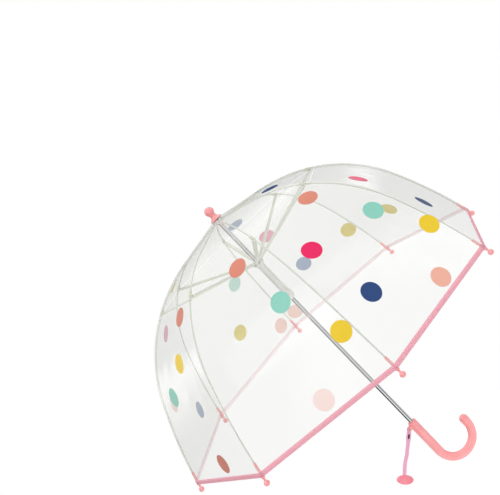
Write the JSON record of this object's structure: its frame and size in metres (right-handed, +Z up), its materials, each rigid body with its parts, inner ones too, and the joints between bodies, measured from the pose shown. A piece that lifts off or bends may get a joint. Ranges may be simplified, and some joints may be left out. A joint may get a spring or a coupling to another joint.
{
  "type": "clear bubble umbrella",
  "caption": "Child's umbrella with a deep clear film dome on eight hinged ribs, a sliding runner, a straight metal shaft, a crook handle and a closing strap.",
  "frame": {"origin": "middle of the grip, on the axis of the shaft", "axes": "+Z up the shaft to the ferrule, +X to the side that the crook opens to"},
  "size_m": [0.7308, 0.7308, 0.682],
  "materials": {
    "chrome": "polished",
    "ring_plastic": "smooth",
    "wire": "drawn",
    "rib_rod": "smooth",
    "stretcher": "satin",
    "film": "clear film",
    "pink_plastic": "gloss",
    "strap": "soft gloss"
  },
  "bodies": {
    "root": {"shaft": "chrome", "top_notch": "ring_plastic", "crown_wire": "wire", "film_spacer": "ring_plastic", "ferrule": "pink_plastic", "handle": "pink_plastic", "handle_pin": "wire"},
    "rib_upper_1": {"rib_upper_1": "rib_rod"},
    "rib_lower_1": {"rib_lower_1": "rib_rod", "rib_tip_1": "pink_plastic"},
    "stretcher_1": {"stretcher_1": "stretcher"},
    "panel_upper_1": {"panel_upper_1": "film"},
    "panel_lower_1": {"panel_lower_1": "film"},
    "rib_upper_2": {"rib_upper_2": "rib_rod"},
    "rib_lower_2": {"rib_lower_2": "rib_rod", "rib_tip_2": "pink_plastic"},
    "stretcher_2": {"stretcher_2": "stretcher"},
    "panel_upper_2": {"panel_upper_2": "film"},
    "panel_lower_2": {"panel_lower_2": "film"},
    "rib_upper_3": {"rib_upper_3": "rib_rod"},
    "rib_lower_3": {"rib_lower_3": "rib_rod", "rib_tip_3": "pink_plastic"},
    "stretcher_3": {"stretcher_3": "stretcher"},
    "panel_upper_3": {"panel_upper_3": "film"},
    "panel_lower_3": {"panel_lower_3": "film"},
    "rib_upper_4": {"rib_upper_4": "rib_rod"},
    "rib_lower_4": {"rib_lower_4": "rib_rod", "rib_tip_4": "pink_plastic"},
    "stretcher_4": {"stretcher_4": "stretcher"},
    "panel_upper_4": {"panel_upper_4": "film"},
    "panel_lower_4": {"panel_lower_4": "film"},
    "rib_upper_5": {"rib_upper_5": "rib_rod"},
    "rib_lower_5": {"rib_lower_5": "rib_rod", "rib_tip_5": "pink_plastic"},
    "stretcher_5": {"stretcher_5": "stretcher"},
    "panel_upper_5": {"panel_upper_5": "film"},
    "panel_lower_5": {"panel_lower_5": "film"},
    "rib_upper_6": {"rib_upper_6": "rib_rod"},
    "rib_lower_6": {"rib_lower_6": "rib_rod", "rib_tip_6": "pink_plastic"},
    "stretcher_6": {"stretcher_6": "stretcher"},
    "panel_upper_6": {"panel_upper_6": "film"},
    "panel_lower_6": {"panel_lower_6": "film"},
    "rib_upper_7": {"rib_upper_7": "rib_rod"},
    "rib_lower_7": {"rib_lower_7": "rib_rod", "rib_tip_7": "pink_plastic"},
    "stretcher_7": {"stretcher_7": "stretcher"},
    "panel_upper_7": {"panel_upper_7": "film"},
    "panel_lower_7": {"panel_lower_7": "film"},
    "rib_upper_8": {"rib_upper_8": "rib_rod"},
    "rib_lower_8": {"rib_lower_8": "rib_rod", "rib_tip_8": "pink_plastic"},
    "stretcher_8": {"stretcher_8": "stretcher"},
    "panel_upper_8": {"panel_upper_8": "film"},
    "panel_lower_8": {"panel_lower_8": "film"},
    "runner": {"runner": "ring_plastic", "runner_wire": "wire"},
    "top_catch": {"top_catch": "wire"},
    "bottom_catch": {"bottom_catch": "wire"},
    "strap": {"strap": "strap"}
  },
  "joints": [
    {"name": "fold", "type": "hinge", "parent": "root", "child": "rib_upper_1", "pos_m": [0.00785, 0, 0.559], "axis": [0, 1, 0], "range_deg": [0, 68.36], "deforming": ["panel_upper_1", "panel_upper_2", "panel_upper_3", "panel_upper_4", "panel_upper_5", "panel_upper_6", "panel_upper_7", "panel_upper_8", "panel_lower_1", "panel_lower_2", "panel_lower_3", "panel_lower_4", "panel_lower_5", "panel_lower_6", "panel_lower_7", "panel_lower_8", "top_catch", "bottom_catch"]},
    {"name": "rib_flex_1", "type": "hinge", "parent": "rib_upper_1", "child": "rib_lower_1", "pos_m": [0.1987, 0, 0.50527], "axis": [0, 1, 0], "range_deg": [-37.66, 0]},
    {"name": "stretcher_fold_1", "type": "hinge", "parent": "rib_upper_1", "child": "stretcher_1", "pos_m": [0.18668, 0, 0.50723], "axis": [0, 1, 0], "range_deg": [-137.21, 0]},
    {"name": "film_fold_1", "type": "hinge", "parent": "root", "child": "panel_upper_1", "pos_m": [0.0067, -0.00278, 0.559], "axis": [0.3827, 0.9239, 0], "range_deg": [0, 67.41]},
    {"name": "film_flex_1", "type": "hinge", "parent": "panel_upper_1", "child": "panel_lower_1", "pos_m": [0.1696, -0.07025, 0.50527], "axis": [0.3827, 0.9239, 0], "range_deg": [-38.81, 0]},
    {"name": "rib_fold_2", "type": "hinge", "parent": "root", "child": "rib_upper_2", "pos_m": [0.00555, -0.00555, 0.559], "axis": [0.7071, 0.7071, 0], "range_deg": [0, 68.86]},
    {"name": "rib_flex_2", "type": "hinge", "parent": "rib_upper_2", "child": "rib_lower_2", "pos_m": [0.1405, -0.1405, 0.50527], "axis": [0.7071, 0.7071, 0], "range_deg": [-37.66, 0]},
    {"name": "stretcher_fold_2", "type": "hinge", "parent": "rib_upper_2", "child": "stretcher_2", "pos_m": [0.13201, -0.13201, 0.50723], "axis": [0.7071, 0.7071, 0], "range_deg": [-137.21, 0]},
    {"name": "film_fold_2", "type": "hinge", "parent": "root", "child": "panel_upper_2", "pos_m": [0.00278, -0.0067, 0.559], "axis": [0.9239, 0.3827, 0], "range_deg": [0, 67.41]},
    {"name": "film_flex_2", "type": "hinge", "parent": "panel_upper_2", "child": "panel_lower_2", "pos_m": [0.07025, -0.1696, 0.50527], "axis": [0.9239, 0.3827, 0], "range_deg": [-38.81, 0]},
    {"name": "rib_fold_3", "type": "hinge", "parent": "root", "child": "rib_upper_3", "pos_m": [0, -0.00785, 0.559], "axis": [1, 0, 0], "range_deg": [0, 68.86]},
    {"name": "rib_flex_3", "type": "hinge", "parent": "rib_upper_3", "child": "rib_lower_3", "pos_m": [0, -0.1987, 0.50527], "axis": [1, 0, 0], "range_deg": [-37.66, 0]},
    {"name": "stretcher_fold_3", "type": "hinge", "parent": "rib_upper_3", "child": "stretcher_3", "pos_m": [0, -0.18668, 0.50723], "axis": [1, 0, 0], "range_deg": [-137.21, 0]},
    {"name": "film_fold_3", "type": "hinge", "parent": "root", "child": "panel_upper_3", "pos_m": [-0.00278, -0.0067, 0.559], "axis": [0.9239, -0.3827, 0], "range_deg": [0, 67.41]},
    {"name": "film_flex_3", "type": "hinge", "parent": "panel_upper_3", "child": "panel_lower_3", "pos_m": [-0.07025, -0.1696, 0.50527], "axis": [0.9239, -0.3827, 0], "range_deg": [-38.81, 0]},
    {"name": "rib_fold_4", "type": "hinge", "parent": "root", "child": "rib_upper_4", "pos_m": [-0.00555, -0.00555, 0.559], "axis": [0.7071, -0.7071, 0], "range_deg": [0, 68.86]},
    {"name": "rib_flex_4", "type": "hinge", "parent": "rib_upper_4", "child": "rib_lower_4", "pos_m": [-0.1405, -0.1405, 0.50527], "axis": [0.7071, -0.7071, 0], "range_deg": [-37.66, 0]},
    {"name": "stretcher_fold_4", "type": "hinge", "parent": "rib_upper_4", "child": "stretcher_4", "pos_m": [-0.13201, -0.13201, 0.50723], "axis": [0.7071, -0.7071, 0], "range_deg": [-137.21, 0]},
    {"name": "film_fold_4", "type": "hinge", "parent": "root", "child": "panel_upper_4", "pos_m": [-0.0067, -0.00278, 0.559], "axis": [0.3827, -0.9239, 0], "range_deg": [0, 67.41]},
    {"name": "film_flex_4", "type": "hinge", "parent": "panel_upper_4", "child": "panel_lower_4", "pos_m": [-0.1696, -0.07025, 0.50527], "axis": [0.3827, -0.9239, 0], "range_deg": [-38.81, 0]},
    {"name": "rib_fold_5", "type": "hinge", "parent": "root", "child": "rib_upper_5", "pos_m": [-0.00785, 0, 0.559], "axis": [0, -1, 0], "range_deg": [0, 68.86]},
    {"name": "rib_flex_5", "type": "hinge", "parent": "rib_upper_5", "child": "rib_lower_5", "pos_m": [-0.1987, 0, 0.50527], "axis": [0, -1, 0], "range_deg": [-37.66, 0]},
    {"name": "stretcher_fold_5", "type": "hinge", "parent": "rib_upper_5", "child": "stretcher_5", "pos_m": [-0.18668, 0, 0.50723], "axis": [0, -1, 0], "range_deg": [-137.21, 0]},
    {"name": "film_fold_5", "type": "hinge", "parent": "root", "child": "panel_upper_5", "pos_m": [-0.0067, 0.00278, 0.559], "axis": [-0.3827, -0.9239, 0], "range_deg": [0, 67.41]},
    {"name": "film_flex_5", "type": "hinge", "parent": "panel_upper_5", "child": "panel_lower_5", "pos_m": [-0.1696, 0.07025, 0.50527], "axis": [-0.3827, -0.9239, 0], "range_deg": [-38.81, 0]},
    {"name": "rib_fold_6", "type": "hinge", "parent": "root", "child": "rib_upper_6", "pos_m": [-0.00555, 0.00555, 0.559], "axis": [-0.7071, -0.7071, 0], "range_deg": [0, 68.86]},
    {"name": "rib_flex_6", "type": "hinge", "parent": "rib_upper_6", "child": "rib_lower_6", "pos_m": [-0.1405, 0.1405, 0.50527], "axis": [-0.7071, -0.7071, 0], "range_deg": [-37.66, 0]},
    {"name": "stretcher_fold_6", "type": "hinge", "parent": "rib_upper_6", "child": "stretcher_6", "pos_m": [-0.13201, 0.13201, 0.50723], "axis": [-0.7071, -0.7071, 0], "range_deg": [-137.21, 0]},
    {"name": "film_fold_6", "type": "hinge", "parent": "root", "child": "panel_upper_6", "pos_m": [-0.00278, 0.0067, 0.559], "axis": [-0.9239, -0.3827, 0], "range_deg": [0, 67.41]},
    {"name": "film_flex_6", "type": "hinge", "parent": "panel_upper_6", "child": "panel_lower_6", "pos_m": [-0.07025, 0.1696, 0.50527], "axis": [-0.9239, -0.3827, 0], "range_deg": [-38.81, 0]},
    {"name": "rib_fold_7", "type": "hinge", "parent": "root", "child": "rib_upper_7", "pos_m": [0, 0.00785, 0.559], "axis": [-1, 0, 0], "range_deg": [0, 68.86]},
    {"name": "rib_flex_7", "type": "hinge", "parent": "rib_upper_7", "child": "rib_lower_7", "pos_m": [0, 0.1987, 0.50527], "axis": [-1, 0, 0], "range_deg": [-37.66, 0]},
    {"name": "stretcher_fold_7", "type": "hinge", "parent": "rib_upper_7", "child": "stretcher_7", "pos_m": [0, 0.18668, 0.50723], "axis": [-1, 0, 0], "range_deg": [-137.21, 0]},
    {"name": "film_fold_7", "type": "hinge", "parent": "root", "child": "panel_upper_7", "pos_m": [0.00278, 0.0067, 0.559], "axis": [-0.9239, 0.3827, 0], "range_deg": [0, 67.41]},
    {"name": "film_flex_7", "type": "hinge", "parent": "panel_upper_7", "child": "panel_lower_7", "pos_m": [0.07025, 0.1696, 0.50527], "axis": [-0.9239, 0.3827, 0], "range_deg": [-38.81, 0]},
    {"name": "rib_fold_8", "type": "hinge", "parent": "root", "child": "rib_upper_8", "pos_m": [0.00555, 0.00555, 0.559], "axis": [-0.7071, 0.7071, 0], "range_deg": [0, 68.86]},
    {"name": "rib_flex_8", "type": "hinge", "parent": "rib_upper_8", "child": "rib_lower_8", "pos_m": [0.1405, 0.1405, 0.50527], "axis": [-0.7071, 0.7071, 0], "range_deg": [-37.66, 0]},
    {"name": "stretcher_fold_8", "type": "hinge", "parent": "rib_upper_8", "child": "stretcher_8", "pos_m": [0.13201, 0.13201, 0.50723], "axis": [-0.7071, 0.7071, 0], "range_deg": [-137.21, 0]},
    {"name": "film_fold_8", "type": "hinge", "parent": "root", "child": "panel_upper_8", "pos_m": [0.0067, 0.00278, 0.559], "axis": [-0.3827, 0.9239, 0], "range_deg": [0, 67.41]},
    {"name": "film_flex_8", "type": "hinge", "parent": "panel_upper_8", "child": "panel_lower_8", "pos_m": [0.1696, 0.07025, 0.50527], "axis": [-0.3827, 0.9239, 0], "range_deg": [-38.81, 0]},
    {"name": "runner_slide", "type": "hinge", "parent": "stretcher_1", "child": "runner", "pos_m": [0.00785, 0, 0.45546], "axis": [0, 1, 0], "range_deg": [0, 68.86]},
    {"name": "top_catch_press", "type": "slide", "parent": "root", "child": "top_catch", "axis": [0, -1, 0], "range_m": [0, 0.0034], "stiffness_N_per_m": 400, "springref_m": -0.001},
    {"name": "bottom_catch_press", "type": "slide", "parent": "root", "child": "bottom_catch", "axis": [0, -1, 0], "range_m": [0, 0.0034], "stiffness_N_per_m": 400, "springref_m": -0.001},
    {"name": "strap_swing", "type": "hinge", "parent": "root", "child": "strap", "pos_m": [-0.013, 0, 0.028], "axis": [0, 1, 0], "range_deg": [-40, 28]}
  ],
  "couplings": [
    {"joint": "rib_flex_1", "follows": "fold", "ratio": -0.5437},
    {"joint": "stretcher_fold_1", "follows": "fold", "ratio": -2},
    {"joint": "film_fold_1", "follows": "fold", "ratio": 0.9788},
    {"joint": "film_flex_1", "follows": "fold", "ratio": -0.5604},
    {"joint": "rib_fold_2", "follows": "fold", "ratio": 1},
    {"joint": "rib_flex_2", "follows": "fold", "ratio": -0.5437},
    {"joint": "stretcher_fold_2", "follows": "fold", "ratio": -2},
    {"joint": "film_fold_2", "follows": "fold", "ratio": 0.9788},
    {"joint": "film_flex_2", "follows": "fold", "ratio": -0.5604},
    {"joint": "rib_fold_3", "follows": "fold", "ratio": 1},
    {"joint": "rib_flex_3", "follows": "fold", "ratio": -0.5437},
    {"joint": "stretcher_fold_3", "follows": "fold", "ratio": -2},
    {"joint": "film_fold_3", "follows": "fold", "ratio": 0.9788},
    {"joint": "film_flex_3", "follows": "fold", "ratio": -0.5604},
    {"joint": "rib_fold_4", "follows": "fold", "ratio": 1},
    {"joint": "rib_flex_4", "follows": "fold", "ratio": -0.5437},
    {"joint": "stretcher_fold_4", "follows": "fold", "ratio": -2},
    {"joint": "film_fold_4", "follows": "fold", "ratio": 0.9788},
    {"joint": "film_flex_4", "follows": "fold", "ratio": -0.5604},
    {"joint": "rib_fold_5", "follows": "fold", "ratio": 1},
    {"joint": "rib_flex_5", "follows": "fold", "ratio": -0.5437},
    {"joint": "stretcher_fold_5", "follows": "fold", "ratio": -2},
    {"joint": "film_fold_5", "follows": "fold", "ratio": 0.9788},
    {"joint": "film_flex_5", "follows": "fold", "ratio": -0.5604},
    {"joint": "rib_fold_6", "follows": "fold", "ratio": 1},
    {"joint": "rib_flex_6", "follows": "fold", "ratio": -0.5437},
    {"joint": "stretcher_fold_6", "follows": "fold", "ratio": -2},
    {"joint": "film_fold_6", "follows": "fold", "ratio": 0.9788},
    {"joint": "film_flex_6", "follows": "fold", "ratio": -0.5604},
    {"joint": "rib_fold_7", "follows": "fold", "ratio": 1},
    {"joint": "rib_flex_7", "follows": "fold", "ratio": -0.5437},
    {"joint": "stretcher_fold_7", "follows": "fold", "ratio": -2},
    {"joint": "film_fold_7", "follows": "fold", "ratio": 0.9788},
    {"joint": "film_flex_7", "follows": "fold", "ratio": -0.5604},
    {"joint": "rib_fold_8", "follows": "fold", "ratio": 1},
    {"joint": "rib_flex_8", "follows": "fold", "ratio": -0.5437},
    {"joint": "stretcher_fold_8", "follows": "fold", "ratio": -2},
    {"joint": "film_fold_8", "follows": "fold", "ratio": 0.9788},
    {"joint": "film_flex_8", "follows": "fold", "ratio": -0.5604},
    {"joint": "runner_slide", "follows": "fold", "ratio": 1}
  ]
}
